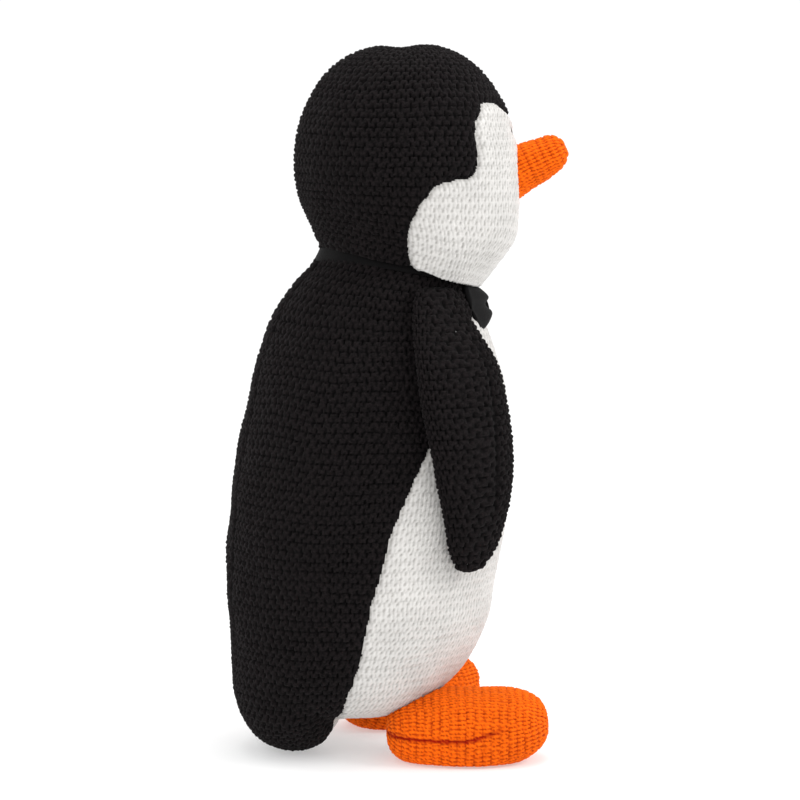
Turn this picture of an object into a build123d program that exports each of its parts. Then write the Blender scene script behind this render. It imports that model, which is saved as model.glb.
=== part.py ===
"""Knitted plush penguin, standing. Millimetres, +Z up, the body faces -Y, its right side is -X.

The covers are thin knitted shells over separate stuffings. The head sits on a sloping neck plane and
turns about that plane's normal; it is stored turned a little to its right. Each flipper hangs from a
sewn shoulder line and lifts about it; each foot hangs from a sewn heel line.
"""
import os
from math import cos, radians, sin, tan

from build123d import *

os.makedirs("parts", exist_ok=True)

# ---- driving dimensions -----------------------------------------------------------------------
SKIN = 3.0            # knitted cover thickness
EASE = 0.25           # gap between a cover and the stuffing inside it
SHIFT_Y = -2.9        # moves the whole toy so the origin is under the middle of its outline
NECK_Z = 279.0        # height of the neck plane on the vertical axis
NECK_TILT = 12.0      # the neck plane drops towards the face
HEAD_TURN = -18.0     # head stored turned to its right
NECK_GAP = 0.6        # half of the running gap between head and body
RIBBON_WIDTH = 9.0
RIBBON_THICK = 1.3

# Body: height, radius, centre along Y
BODY_SECTIONS = [
    (22.5, 34.0, 38.0), (26.0, 45.0, 38.0), (31.0, 53.5, 37.5), (39.0, 60.0, 34.5), (48.5, 66.0, 30.0),
    (58.0, 69.8, 26.0), (76.0, 74.1, 22.8), (94.0, 75.8, 22.2), (110.0, 77.7, 20.8), (126.0, 79.2, 18.6),
    (144.0, 79.5, 15.9), (162.5, 78.8, 13.9), (181.0, 76.8, 12.4), (199.0, 74.4, 11.7), (217.0, 70.7, 11.4),
    (235.5, 64.4, 12.0), (253.7, 56.7, 12.3), (267.4, 50.2, 9.6), (276.5, 45.2, 4.2), (284.0, 43.3, 0.6),
    (300.0, 43.3, 0.0),
]
TAIL_CENTRE = (0.0, 66.0, 33.0)
TAIL_RADII = (44.0, 28.0, 33.0)

# Head: height, half depth, centre along Y, half width
HEAD_SECTIONS = [
    (258.0, 34.0, -8.0, 34.0), (266.0, 43.0, -2.0, 42.0), (272.6, 47.5, -4.5, 47.0), (281.7, 51.8, -8.6, 51.5),
    (290.3, 55.3, -11.4, 55.0), (304.0, 59.3, -9.1, 59.0), (313.0, 61.8, -7.7, 61.5), (322.2, 62.8, -6.5, 63.0),
    (333.6, 63.3, -5.7, 63.5), (345.0, 62.4, -5.4, 62.5), (354.1, 60.1, -4.3, 60.5), (363.2, 56.7, -4.3, 57.5),
    (372.3, 52.7, -3.7, 53.5), (381.5, 47.9, -4.0, 48.5), (390.6, 40.2, -4.3, 41.0), (395.1, 32.8, -4.9, 33.5),
    (399.7, 21.4, -7.1, 22.0), (401.4, 8.0, -7.1, 8.0),
]
# Side outline of the white face (Y, Z), each side of the head
FACE_OUTLINE = [
    (-59.0, 366.0), (-53.0, 368.4), (-46.5, 364.5), (-43.3, 354.0), (-43.9, 342.4), (-46.0, 334.0),
    (-47.5, 329.0), (-44.5, 326.2), (-33.0, 324.6), (-19.0, 320.0), (-13.0, 310.7), (-8.6, 302.0),
    (-5.7, 293.0), (-5.0, 285.0), (-8.6, 277.0), (-18.0, 268.0),
]
# Side line between the black back and the white front (Y, Z)
BELLY_LINE = [
    (47.0, -20.0), (47.5, 8.0), (50.0, 24.0), (50.5, 38.0), (47.0, 50.0), (43.3, 66.0), (41.9, 75.0), (38.6, 97.0),
    (34.0, 113.0), (28.4, 134.0), (20.0, 154.0), (12.0, 169.0), (5.0, 180.0), (-8.0, 204.0), (-20.0, 230.0),
    (-29.0, 255.0), (-33.0, 300.0),
]

BEAK_BASE = (-60.0, 326.8)   # Y, Z of the base centre, inside the face
BEAK_TIP = (-86.2, 339.2)    # Y, Z of the rounded tip's centre
BEAK_BASE_R = 15.9
BEAK_TIP_R = 10.6
EYE_X = 9.5
EYE_Z = 353.0
EYE_R = 3.0
EYE_THICK = 1.4

# Flipper: height, distance from the middle, Y, half width, half thickness
FLIPPER_SECTIONS = [
    (268.0, 51.8, -9.4, 18.0, 2.6), (263.0, 55.2, -9.8, 20.5, 3.6), (254.0, 60.6, -9.6, 22.6, 5.6),
    (241.0, 67.6, -9.2, 23.8, 7.5), (228.0, 74.2, -10.0, 26.4, 9.0), (206.0, 80.3, -12.4, 28.4, 9.5),
    (193.0, 82.0, -14.5, 28.2, 9.5), (174.0, 83.4, -16.8, 26.5, 9.5), (157.0, 83.4, -18.0, 24.4, 9.0),
    (146.0, 82.6, -18.8, 22.3, 8.5), (137.0, 81.6, -18.8, 20.0, 8.0), (125.0, 79.6, -18.0, 15.4, 6.3),
    (117.0, 77.6, -17.2, 9.6, 4.2), (112.5, 76.6, -17.0, 3.4, 1.8),
]
FLIPPER_YAW = 15.0

FOOT_RADII = (28.5, 46.0, 26.0)   # half width, half length, half height before the sole is flattened
FOOT_MIDDLE_Z = 17.0
FOOT_SEAM_Z = 15.0
FOOT_CENTRE = (46.0, -26.5)
FOOT_SPLAY = 18.0

BOW_Z = 254.0
BOW_Y = -49.5
BOW_HALF = 31.0
BOW_HEIGHT = 22.0

BIG = 600.0


def shifted(solid):
    """Put a finished piece into the toy's own frame."""
    return Pos(0, SHIFT_Y, 0) * solid


def ellipse_at(centre, half_x, half_y, yaw=0.0):
    """A horizontal elliptical section."""
    return Pos(*centre) * Rot(0, 0, yaw) * Ellipse(half_x, half_y)


def body_form(grow):
    """Egg-shaped trunk with the rounded tail at its lower back; grow moves the surface outwards."""
    faces = []
    last = len(BODY_SECTIONS) - 1
    for i, (z, radius, centre_y) in enumerate(BODY_SECTIONS):
        level = z - grow if i == 0 else z - grow * 0.8 if i == 1 else z
        level = z if i == last else level
        faces.append(ellipse_at((0, centre_y, level), radius + grow, radius + grow))
    trunk = loft(faces)
    rx, ry, rz = (r + grow for r in TAIL_RADII)
    tail = Pos(*TAIL_CENTRE) * scale(Sphere(1.0), by=(rx, ry, rz))
    return trunk + tail


def neck_slab(top, depth):
    """A deep slab whose upper face lies along the neck plane, top mm above it."""
    slab = Pos(0, 0, top - depth / 2) * Box(BIG, BIG, depth)
    return Pos(0, 0, NECK_Z) * Rot(0, 0, HEAD_TURN) * Rot(NECK_TILT, 0, 0) * slab


def body_solid(grow, top):
    """The trunk, cut off top mm above the neck plane."""
    return body_form(grow) & neck_slab(top, BIG)


def head_form(grow):
    """Round head in its own frame, before the neck plane cuts it."""
    faces = []
    last = len(HEAD_SECTIONS) - 1
    for i, (z, half_depth, centre_y, half_width) in enumerate(HEAD_SECTIONS):
        level = z + grow if i == last else z + grow * 0.9 if i == last - 1 else z
        faces.append(ellipse_at((0, centre_y, level), half_width + grow, half_depth + grow))
    return loft(faces)


def head_solid(grow, bottom):
    """The head in its own frame, cut off bottom mm above the neck plane."""
    slab = Pos(0, 0, bottom - BIG / 2) * Box(BIG, BIG, BIG)
    return head_form(grow) - Pos(0, 0, NECK_Z) * Rot(NECK_TILT, 0, 0) * slab


def place_head(solid):
    """Turn a head piece to its stored position."""
    return Rot(0, 0, HEAD_TURN) * solid


def side_prism(points, closing):
    """A prism across the toy from a smooth side outline (Y, Z) and straight closing corners."""
    outline = [Vector(0, y, z) for y, z in points]
    corners = [Vector(0, y, z) for y, z in closing]
    edges = [Spline(*outline)]
    chain = [outline[-1]] + corners + [outline[0]]
    edges += [Line(a, b) for a, b in zip(chain[:-1], chain[1:])]
    face = Face(Wire(edges))
    return extrude(face, amount=BIG / 2, dir=(1, 0, 0), both=True)


def make_head():
    """Black hood, white face, stuffing, beak and the two small embroidered eyes."""
    outer = head_solid(0.0, NECK_GAP)
    inner = head_solid(-SKIN, NECK_GAP + SKIN)
    shell = outer - inner
    mask = side_prism(FACE_OUTLINE, [(-18.0, 240.0), (-140.0, 240.0), (-140.0, 366.0)])
    notch = Pos(0, -60, 368.5) * Rot(90, 0, 0) * extrude(RegularPolygon(9.0, 3, rotation=-90), 30, both=True)
    mask = mask - notch
    stuffing = head_solid(-SKIN - EASE, NECK_GAP + SKIN + EASE)

    run = Vector(0, BEAK_TIP[0] - BEAK_BASE[0], BEAK_TIP[1] - BEAK_BASE[1])
    beak_plane = Plane(origin=(0, *BEAK_BASE), z_dir=run)
    clear_head = head_solid(0.1, NECK_GAP)
    beak_out = beak_form(beak_plane, run.length, 0.0) - clear_head
    beak_in = beak_form(beak_plane, run.length, -SKIN)
    beak_fill = beak_form(beak_plane, run.length, -SKIN - EASE) - head_solid(0.1 + EASE, NECK_GAP)

    pieces = {
        "head_hood": shell - mask,
        "face_panel": shell & mask,
        "head_stuffing": stuffing,
        "beak_cover": beak_out - beak_in,
        "beak_stuffing": beak_fill,
    }
    for side, sign in (("right", -1), ("left", 1)):
        disc = Pos(sign * EYE_X, -60, EYE_Z) * Rot(90, 0, 0) * Cylinder(EYE_R, 40)
        pieces["eye_" + side] = (head_solid(EYE_THICK, NECK_GAP) - clear_head) & disc
    return {name: place_head(solid) for name, solid in pieces.items()}


def beak_form(plane, length, grow):
    """A cone with a ball end."""
    cone = Cone(BEAK_BASE_R + grow, BEAK_TIP_R + grow, length, align=(Align.CENTER, Align.CENTER, Align.MIN))
    return plane.location * (cone + Pos(0, 0, length) * Sphere(BEAK_TIP_R + grow))


def make_body():
    """Black back with the tail, white front, stuffing, neck ribbon and bow tie."""
    outer = body_solid(0.0, -NECK_GAP)
    inner = body_solid(-SKIN, -NECK_GAP - SKIN)
    shell = outer - inner
    front = side_prism(BELLY_LINE, [(-200.0, 300.0), (-200.0, -20.0)])
    ribbon = body_form(RIBBON_THICK) & neck_slab(-NECK_GAP - 0.6, RIBBON_WIDTH)
    ribbon = ribbon - body_form(0.05)
    return {
        "body_back": shell - front,
        "belly_panel": shell & front,
        "body_stuffing": body_solid(-SKIN - EASE, -NECK_GAP - SKIN - EASE),
        "neck_ribbon": ribbon,
        **make_bow(ribbon),
    }


def make_bow(ribbon):
    """Two fabric wings held by a knot."""
    clear_body = body_form(RIBBON_THICK + 0.1)
    knot = Pos(0, BOW_Y - 1.0, BOW_Z) * Box(8.5, 9.0, 11.0)
    knot = fillet(knot.edges(), 2.5) - clear_body
    wings = {}
    for side, sign in (("right", -1), ("left", 1)):
        faces = []
        for reach, height, thick, back in ((4.4, 6.0, 4.0, 0.0), (12.0, 14.0, 6.0, 1.2),
                                           (22.0, 20.0, 6.5, 2.8), (BOW_HALF, BOW_HEIGHT, 4.0, 5.0)):
            plane = Plane(origin=(sign * reach, BOW_Y + back, BOW_Z), z_dir=(sign, 0, 0), x_dir=(0, 1, 0))
            faces.append(plane * RectangleRounded(thick, height, thick * 0.42))
        wings["bow_wing_" + side] = loft(faces) - clear_body
    return {"bow_knot": knot, **wings}


def flipper_form(sign, grow):
    """Flat tapered flipper hanging beside the body."""
    faces = []
    last = len(FLIPPER_SECTIONS) - 1
    for i, (z, reach, y, half_width, half_thick) in enumerate(FLIPPER_SECTIONS):
        if grow < 0 and half_thick + grow < 0.8:
            continue
        level = z + grow if i == 0 else z - grow if i == last else z
        yaw = -sign * FLIPPER_YAW
        faces.append(ellipse_at((sign * reach, y, level), half_thick + grow, half_width + grow, yaw))
    return loft(faces)


def make_flippers():
    """A knitted cover and its stuffing for each side."""
    pieces = {}
    for side, sign in (("right", -1), ("left", 1)):
        outer = flipper_form(sign, 0.0)
        pieces["flipper_cover_" + side] = outer - flipper_form(sign, -SKIN + 0.4)
        pieces["flipper_stuffing_" + side] = flipper_form(sign, -SKIN + 0.4 - EASE)
    return pieces


def foot_form(sign, grow):
    """Rounded pad, toe pointing outwards, flat underneath."""
    rx, ry, rz = (r + grow for r in FOOT_RADII)
    pad = Pos(0, 0, FOOT_MIDDLE_Z) * scale(Sphere(1.0), by=(rx, ry, rz))
    pad = pad - Pos(0, 0, -grow - BIG / 2) * Box(BIG, BIG, BIG)
    return Pos(sign * FOOT_CENTRE[0], FOOT_CENTRE[1], 0) * Rot(0, 0, sign * FOOT_SPLAY) * pad


def make_feet():
    """Upper, sole and stuffing for each foot, pressed to the shape of the belly above it."""
    pieces = {}
    lower = Pos(0, 0, FOOT_SEAM_Z - BIG / 2) * Box(BIG, BIG, BIG)
    for side, sign in (("right", -1), ("left", 1)):
        side_room = Pos(sign * (BIG / 2 + 1.0), 0, 0) * Box(BIG, BIG, BIG)
        outer = (foot_form(sign, 0.0) - body_form(1.0)) & side_room
        inner = (foot_form(sign, -SKIN) - body_form(1.0 + SKIN)) & Pos(sign * SKIN, 0, 0) * side_room
        core = foot_form(sign, -SKIN - EASE) - body_form(1.0 + SKIN + EASE)
        core = core & Pos(sign * (SKIN + EASE), 0, 0) * side_room
        shell = outer - inner
        pieces["foot_upper_" + side] = shell - lower
        pieces["foot_sole_" + side] = shell & lower
        pieces["foot_stuffing_" + side] = core
    return pieces


def main():
    nodes = {**make_head(), **make_body(), **make_flippers(), **make_feet()}
    for name, solid in nodes.items():
        part = shifted(solid)
        solids = part.solids()
        if len(solids) > 1:
            print("note:", name, "has", len(solids), "solids", [round(s.volume) for s in solids])
            part = max(solids, key=lambda s: s.volume)
        export_step(part, f"parts/{name}.step")
        box = part.bounding_box()
        print(f"{name:24s} vol {part.volume:10.0f}  min {box.min.X:7.1f} {box.min.Y:7.1f} {box.min.Z:7.1f}"
              f"  max {box.max.X:7.1f} {box.max.Y:7.1f} {box.max.Z:7.1f}")


main()
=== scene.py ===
"""Looks for the knitted plush penguin: every cover is rebuilt as garter-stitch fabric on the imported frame.

Each cover is a fine grid laid over the soft form, raised by the height of real yarn loops (one loop cell
is worked out from the loop's own curve), with the fabric's seams drawn in. Lengths below are millimetres
until a mesh is written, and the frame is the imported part's: +Z up, the body faces -Y.
"""
import math

import bpy
import numpy as np
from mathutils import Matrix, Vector


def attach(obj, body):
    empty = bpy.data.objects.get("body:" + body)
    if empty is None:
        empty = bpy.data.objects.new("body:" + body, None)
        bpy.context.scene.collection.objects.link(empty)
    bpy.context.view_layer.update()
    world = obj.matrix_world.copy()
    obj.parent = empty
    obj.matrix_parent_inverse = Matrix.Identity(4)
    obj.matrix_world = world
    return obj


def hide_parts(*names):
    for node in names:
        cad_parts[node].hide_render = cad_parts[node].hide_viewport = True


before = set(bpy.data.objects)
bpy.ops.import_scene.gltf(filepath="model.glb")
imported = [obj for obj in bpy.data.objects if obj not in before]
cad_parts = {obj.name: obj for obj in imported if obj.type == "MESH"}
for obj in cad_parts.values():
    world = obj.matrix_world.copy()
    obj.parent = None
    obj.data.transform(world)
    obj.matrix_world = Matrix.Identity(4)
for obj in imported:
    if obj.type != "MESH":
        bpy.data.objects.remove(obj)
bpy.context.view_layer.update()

# ---- sizes ------------------------------------------------------------------------------------
STITCH_W = 5.3            # one stitch along a row
RIDGE_H = 5.6             # one garter ridge, two rows
YARN_R = 1.3
LOOP_HALF_H = 1.6         # from the middle of a loop to its head or its feet
LOOP_LIFT = 0.7           # how far a loop's head and feet stand out from its sides
LOOP_SWELL = 0.5          # how far a loop bulges sideways
ROW_SINK = 0.6            # every other row lies this much deeper
CROWN = 1.25              # height in the cell above which the yarn is pressed flatter
RIDGED_RELIEF = (0.62, 1.05)      # share of the height kept above and below the crown in a ridged face
EVEN_RELIEF = (0.35, 0.28)        # the same in a close even face
GAP_SLANT, GAP_HALF_W, GAP_HALF_H = 0.35, 0.78, 1.0       # the little gaps between loops
NOISE_WAVES = 7
NOISE_PEAK = 3.2          # about the most that many waves add up to
SHIFT_Y = -2.9            # the part's own shift of its origin
HEAD_TURN = math.radians(-18.0)
NECK_Z = 279.0
NECK_TILT = math.radians(12.0)
TRUNK_LOW_Z = 20.0        # the underside of the belly
TRUNK_TOP_Z = 290.0
PIVOT_Z = 58.0            # rows below this height run in to the middle of the underside
UNDERSIDE_Y = 46.0        # where those rows meet
HEAD_LOW_Z = 279.5
HEAD_TOP_Z = 401.5

# height, radius, Y of the middle
BODY_TABLE = np.array([
    (20.0, 0.0, 38.0), (20.6, 16.0, 38.0), (22.5, 32.0, 38.0), (26.0, 44.0, 37.5), (31.0, 53.0, 36.5),
    (39.0, 60.5, 33.5), (48.5, 66.2, 29.8), (58.0, 69.8, 26.4), (76.0, 74.1, 22.8), (94.0, 75.9, 22.0),
    (110.0, 77.7, 20.6), (126.0, 79.0, 18.6), (144.0, 79.5, 16.1), (162.5, 78.8, 13.9), (181.0, 76.8, 12.4),
    (199.0, 74.4, 11.7), (217.0, 70.7, 11.5), (235.5, 64.4, 12.0), (253.7, 56.7, 11.8), (267.4, 50.2, 8.8),
    (276.5, 45.2, 4.0), (284.0, 43.3, 0.6), (300.0, 43.3, 0.0)])
TAIL_CENTRE = np.array((0.0, 64.0, 34.6))
TAIL_RADII = np.array((46.0, 30.0, 33.0))
TAIL_SCALE = 31.0         # turns the tail's unit distance into about millimetres
TAIL_BLEND = 7.0          # how softly the tail runs into the trunk

# height, half depth, Y of the middle, half width, in the head's own frame
HEAD_TABLE = np.array([
    (258.0, 34.0, -8.0, 34.0), (266.0, 43.0, -3.0, 42.0), (272.6, 47.5, -5.0, 47.0),
    (281.7, 51.8, -8.6, 51.5), (290.3, 55.3, -10.9, 55.0), (304.0, 59.3, -9.3, 59.0),
    (313.0, 61.6, -7.8, 61.5), (322.2, 62.8, -6.6, 63.0), (333.6, 63.3, -5.7, 63.5),
    (345.0, 62.4, -5.2, 62.5), (354.1, 60.4, -4.8, 60.7), (363.2, 57.5, -4.8, 57.9),
    (372.3, 53.2, -4.8, 53.8), (381.5, 47.4, -5.0, 48.0), (390.0, 39.4, -5.4, 40.0),
    (395.8, 30.4, -5.8, 31.0), (399.2, 21.4, -6.0, 22.0), (400.9, 13.0, -6.6, 13.4),
    (401.4, 6.0, -7.0, 6.2), (401.5, 0.0, -7.0, 0.0)])
# the white face seen from the side, Y and Z in the head's own frame
FACE_OUTLINE = np.array([
    (-48.0, 380.0), (-47.5, 364.5), (-44.4, 358.5), (-43.5, 351.0), (-45.7, 342.4), (-45.0, 334.6),
    (-43.0, 329.0), (-40.0, 327.2), (-33.0, 326.2), (-26.4, 325.0), (-20.5, 321.8), (-15.4, 316.3),
    (-10.6, 309.0), (-7.1, 301.4), (-5.4, 293.5), (-5.5, 285.5), (-8.3, 275.0), (-14.0, 262.0),
    (-20.0, 240.0), (-140.0, 240.0), (-140.0, 380.0)])
# height, and the Y where the white belly ends
BELLY_TABLE = np.array([
    (-20.0, 46.0), (18.0, 46.0), (26.0, 47.5), (38.0, 49.0), (50.0, 46.8), (58.0, 44.2), (66.0, 43.0),
    (75.0, 41.9), (97.0, 38.6), (113.0, 34.0), (134.0, 28.4), (154.0, 20.0), (169.0, 12.0), (180.0, 5.0),
    (204.0, -8.0), (225.0, -18.0), (242.0, -27.0), (255.0, -38.0), (268.0, -44.0), (300.0, -50.0)])
# height, distance out from the middle, Y of the middle, half width, half thickness
FLIPPER_TABLE = np.array([
    (268.6, 51.4, -5.0, 5.0, 1.2), (266.5, 52.8, -4.8, 10.5, 2.4), (262.0, 55.8, -5.0, 15.0, 3.9),
    (254.0, 60.6, -5.4, 18.4, 5.8), (241.0, 67.6, -7.4, 22.4, 7.8), (228.0, 74.2, -9.8, 26.2, 9.2),
    (206.0, 80.3, -12.4, 28.4, 9.8), (193.0, 82.0, -14.5, 28.2, 9.8), (174.0, 83.4, -16.8, 26.5, 9.6),
    (157.0, 83.4, -18.0, 24.4, 9.1), (146.0, 82.6, -18.8, 22.3, 8.6), (137.0, 81.6, -18.8, 20.0, 8.0),
    (124.0, 79.6, -18.0, 16.4, 6.6), (116.0, 78.2, -17.4, 11.6, 5.0), (111.5, 77.4, -17.1, 7.0, 3.0),
    (109.6, 77.0, -17.0, 0.0, 0.0)])
FLIPPER_YAW = math.radians(15.0)
FOOT_CENTRE = (52.0, -24.6)
FOOT_SPLAY = math.radians(18.0)
FOOT_RADII = (30.3, 46.5, 24.4)
FOOT_MIDDLE_Z = 16.4
FOOT_SEAM_Z = 15.5
BEAK_BASE = np.array((-60.0, 326.8))      # Y and Z in the head's own frame
BEAK_TIP = np.array((-86.2, 339.2))
BEAK_BASE_R = 15.9
BEAK_TIP_R = 10.6
EYE_X = 6.3
EYE_Z = 353.0
EYE_R = 3.1
EYE_SINK = 1.9            # the thread pulls the face in by this much
THREAD_R = 0.36
BOW_Z = 254.0
BOW_Y = -49.5
BOW_LEAN = 0.36           # the bow lies back against the sloping chest

TRUNK_GIRTH, HEAD_GIRTH, FLIPPER_GIRTH, FOOT_GIRTH, BEAK_GIRTH = 484, 400, 136, 158, 96
FILL_INSET = 4.2          # how far the filling lies under a cover
SEAM_HALF = 1.7           # half width of a seam between two colours
STEP = 0.78     # spacing of the knit grid


# ---- one garter cell, from the yarn loop's own curve --------------------------------------------
def loop_cell(columns):
    """Height of the fabric over one stitch and two rows, the second lying deeper than the purl ridge."""
    rows = int(round(columns * RIDGE_H / STITCH_W))
    pitch = RIDGE_H / 2
    across = (np.arange(columns) + 0.5) / columns * STITCH_W
    x, y = np.meshgrid(across, (np.arange(rows) + 0.5) / rows * RIDGE_H)
    height = np.full(x.shape, -0.6)
    t = np.linspace(0, 2 * math.pi, 72, endpoint=False)
    for row in range(-3, 6):
        front = row % 2 == 0
        lift = LOOP_LIFT * np.cos(2 * t) * (1 if front else -1) - (0.0 if front else ROW_SINK)
        for column in (-1, 0, 1, 2):
            cx = STITCH_W * (t / (2 * math.pi) + column - 0.5) + LOOP_SWELL * np.sin(2 * t)
            cy = LOOP_HALF_H * np.cos(t) + row * pitch
            for px, py, pz in zip(cx, cy, lift):
                q = YARN_R ** 2 - (x - px) ** 2 - (y - py) ** 2
                inside = q > 0
                height[inside] = np.maximum(height[inside], pz + np.sqrt(q[inside]))
    return height


CELL = loop_cell(30)


def cell_height(a, b):
    """Fabric height at stitch coordinate a and ridge coordinate b, smoothly between the cell's samples."""
    rows, columns = CELL.shape
    fa = (a % 1.0) * columns - 0.5
    fb = (b % 1.0) * rows - 0.5
    ia = np.floor(fa).astype(int)
    ib = np.floor(fb).astype(int)
    wa = fa - ia
    wb = fb - ib
    a0, a1 = ia % columns, (ia + 1) % columns
    b0, b1 = ib % rows, (ib + 1) % rows
    top = CELL[b1, a0] * (1 - wa) + CELL[b1, a1] * wa
    low = CELL[b0, a0] * (1 - wa) + CELL[b0, a1] * wa
    return low * (1 - wb) + top * wb


def soft_noise(p, scale, seed):
    """A smooth field of about -1 to 1 over points p, waves of one scale in seeded directions."""
    rng = np.random.default_rng(seed)
    total = np.zeros(p.shape[:-1])
    for _ in range(NOISE_WAVES):
        direction = rng.normal(size=3)
        direction /= np.linalg.norm(direction)
        k = 2 * math.pi / (scale * rng.uniform(0.7, 1.5))
        total += np.sin(p @ direction * k + rng.uniform(0, 6.28))
    return total / NOISE_PEAK


def smooth(x, lo, hi):
    """A soft step from 0 at lo to 1 at hi."""
    t = np.clip((x - lo) / (hi - lo), 0, 1)
    return t * t * (3 - 2 * t)


def curve(table, z, column):
    """Smooth reading of a table's column at heights z."""
    order = np.argsort(table[:, 0])
    xs = table[order, 0]
    ys = table[order, column]
    slope = np.gradient(ys, xs)
    i = np.clip(np.searchsorted(xs, z) - 1, 0, len(xs) - 2)
    h = xs[i + 1] - xs[i]
    t = np.clip((z - xs[i]) / h, 0, 1)
    secant = (ys[i + 1] - ys[i]) / h
    m0 = np.clip(slope[i], -3 * np.abs(secant), 3 * np.abs(secant))
    m1 = np.clip(slope[i + 1], -3 * np.abs(secant), 3 * np.abs(secant))
    t2, t3 = t * t, t * t * t
    return ((2 * t3 - 3 * t2 + 1) * ys[i] + (t3 - 2 * t2 + t) * h * m0
            + (3 * t2 - 2 * t3) * ys[i + 1] + (t3 - t2) * h * m1)


# ---- grids --------------------------------------------------------------------------------------
def grid_normals(p):
    """Outward normals of a grid whose columns go round anticlockwise seen from above and rows go up."""
    du = np.roll(p, -1, axis=1) - np.roll(p, 1, axis=1)
    dv = np.empty_like(p)
    dv[1:-1] = p[2:] - p[:-2]
    dv[0] = p[1] - p[0]
    dv[-1] = p[-1] - p[-2]
    n = np.cross(du, dv)
    length = np.linalg.norm(n, axis=-1, keepdims=True)
    return n / np.maximum(length, 1e-9)


def row_lengths(p):
    """Length round each row, and the mean distance up the grid to each row."""
    around = np.linalg.norm(np.roll(p, -1, axis=1) - p, axis=-1).sum(axis=1)
    steps = np.linalg.norm(p[1:] - p[:-1], axis=-1).mean(axis=1)
    return around, np.concatenate([[0.0], np.cumsum(steps)])


def stitch_coordinates(p, seam_u, seed, drift=0.18, gauge=1.0):
    """Stitch and ridge coordinates for a closed grid; each ridge has a whole number of stitches."""
    stitch, pitch = STITCH_W * gauge, RIDGE_H * gauge
    rows, columns = p.shape[:2]
    around, up = row_lengths(p)
    ridge = np.broadcast_to((up / pitch)[:, None], (rows, columns)).copy()
    ridge += drift * soft_noise(p, 62.0, seed) + 0.07 * soft_noise(p, 13.0, seed + 1)
    index = np.floor(ridge + 0.5).astype(int)
    count = max(int(index.max()) + 2, 2)
    lengths = np.interp(np.arange(count) * pitch, up, around)
    stitches = np.maximum(np.round(lengths / stitch), 4)
    u = (np.arange(columns) / columns - seam_u)[None, :] - 0.5
    a = (u % 1.0 - 0.5) * stitches[np.clip(index, 0, count - 1)]
    a += 0.06 * soft_noise(p, 9.0, seed + 2) + 0.10 * soft_noise(p, 40.0, seed + 3)
    return a, ridge + 0.5


def small_holes(a, b):
    """Slanted little gaps, one a stitch in every row, staggered from row to row."""
    total = np.zeros(a.shape)
    for at_a, at_b in ((0.5, 0.25), (0.0, 0.75)):
        across = ((a - at_a + 0.5) % 1.0 - 0.5) * STITCH_W
        along = ((b - at_b + 0.5) % 1.0 - 0.5) * RIDGE_H
        total += np.exp(-((across - GAP_SLANT * along) / GAP_HALF_W) ** 2 - (along / GAP_HALF_H) ** 2)
    return total


def knit_offset(p, a, b, seed, relief, even=0.0, gaps=0.0):
    """Yarn relief in mm, and how deep in the fabric each point lies (0 on a crown, 1 in a hole), which is
    painted on as shade.

    even runs from 0, loops standing out in ridges, to 1, a close even face broken only by small gaps.
    gaps opens the same small gaps in a ridged face."""
    rng = np.random.default_rng(seed)
    height = cell_height(a, b) - CROWN
    holes = small_holes(a, b) * np.maximum(even, gaps)
    # painted shade: the deeper a point lies, and the nearer it is to a small gap, the darker its colour
    depth = np.clip((0.05 - height) / 1.15, 0, 1) * (1 - 0.7 * even) + 0.95 * holes
    wobble = 1.0 + 0.25 * soft_noise(p, 7.5, seed + 5)
    ridged = np.where(height > 0, *RIDGED_RELIEF) * height
    flat = np.where(height > 0, *EVEN_RELIEF) * height
    offset = (ridged * (1 - even) + flat * even - holes) * relief * wobble
    fuzz = 0.10 * (1 - 0.5 * even) * rng.normal(size=offset.shape).clip(-2, 2)
    offset += fuzz + 0.12 * soft_noise(p, 2.6, seed + 6)
    return offset, np.clip(depth, 0, 1)


def make_stuffing(name, p, body, node, turn=0.0, sign=1, shrink=None):
    """The fibre filling under a cover: a coarser, lumpy copy of the cover's form set inside it."""
    p = p[::4, ::4]
    if shrink:
        middle = p.mean(axis=1, keepdims=True)
        p = middle + (p - middle) * shrink
    else:
        p = p - grid_normals(p) * FILL_INSET
    p = p + grid_normals(p) * (0.5 * soft_noise(p, 14.0, 7))[..., None]
    rows, columns = p.shape[:2]
    points = np.vstack([p.reshape(-1, 3), p[0].mean(axis=0), p[-1].mean(axis=0)]) * (sign, 1, 1)
    faces = [tuple(q) for q in grid_faces(rows, columns)]
    hub = rows * columns
    for i in range(columns):
        i2 = (i + 1) % columns
        faces.append((hub, i2, i))
        faces.append((hub + 1, hub - columns + i, hub - columns + i2))
    if sign < 0:
        faces = [q[::-1] for q in faces]
    obj = plain_mesh(name, placed(points, turn), faces, FIBRE)
    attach(obj, body)
    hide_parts(node)


def write_mesh(name, points, faces, depth, body, material, node):
    """A finished knitted piece riding on its body."""
    used = np.unique(faces)
    remap = np.full(len(points), -1)
    remap[used] = np.arange(len(used))
    points = points[used] / 1000.0
    depth = depth[used]
    mesh = bpy.data.meshes.new(name)
    quads = remap[faces]
    mesh.vertices.add(len(points))
    mesh.vertices.foreach_set("co", points.astype(np.float32).ravel())
    mesh.loops.add(quads.size)
    mesh.loops.foreach_set("vertex_index", quads.astype(np.int32).ravel())
    mesh.polygons.add(len(quads))
    mesh.polygons.foreach_set("loop_start", np.arange(0, quads.size, 4, dtype=np.int32))
    mesh.polygons.foreach_set("use_smooth", np.ones(len(quads), dtype=bool))
    mesh.update(calc_edges=True)
    mesh.validate()
    layer = mesh.attributes.new("depth", "FLOAT", "POINT")
    layer.data.foreach_set("value", depth.astype(np.float32))
    obj = bpy.data.objects.new(name, mesh)
    bpy.context.scene.collection.objects.link(obj)
    obj.data.materials.append(material)
    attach(obj, body)
    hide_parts(node)


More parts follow.
